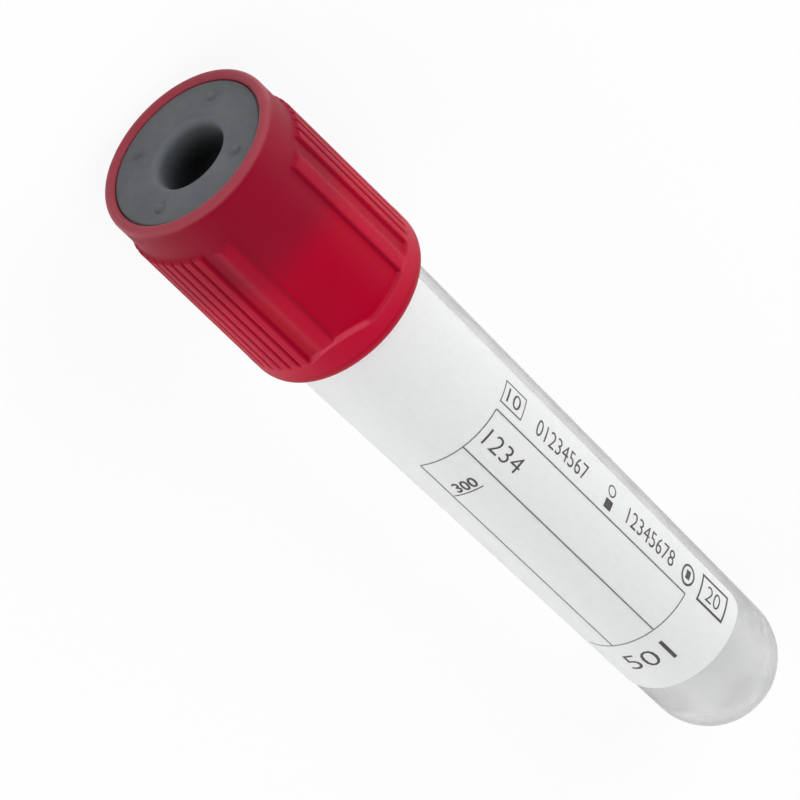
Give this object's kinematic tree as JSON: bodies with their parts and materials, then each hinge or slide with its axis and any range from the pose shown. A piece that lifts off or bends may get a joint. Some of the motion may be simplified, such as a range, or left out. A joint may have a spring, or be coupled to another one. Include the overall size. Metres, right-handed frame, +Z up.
{
  "type": "blood collection tube",
  "caption": "Evacuated blood collection tube, 13 by 75 mm, round bottom, with a pull-off red safety cap, a grey rubber stopper and a wrap-round label.",
  "frame": {"origin": "centre of the footprint of the lying tube, on the surface it lies on", "axes": "+X along the tube from the cap to the round bottom, level with the surface; +Z up; the tube's own axis dips 2.1 degrees from +X towards the round bottom, because the cap is wider than the tube"},
  "size_m": [0.0822, 0.0162, 0.0163],
  "materials": {
    "clear_plastic": "clear polished PET",
    "grey_rubber": "matt moulded butyl rubber",
    "red_plastic": "semi-gloss moulded polyethylene, slightly translucent",
    "label_paper": "white coated paper",
    "black_ink": "matt black printing ink on the label"
  },
  "bodies": {
    "tube": {"tube": "clear_plastic", "label": "label_paper"},
    "closure": {"safety_cap": "red_plastic", "rubber_stopper": "grey_rubber"}
  },
  "joints": [
    {"name": "closure_pull", "type": "slide", "parent": "tube", "child": "closure", "axis": [-0.9993, 0, 0.0369], "range_m": [0, 0.03]}
  ]
}
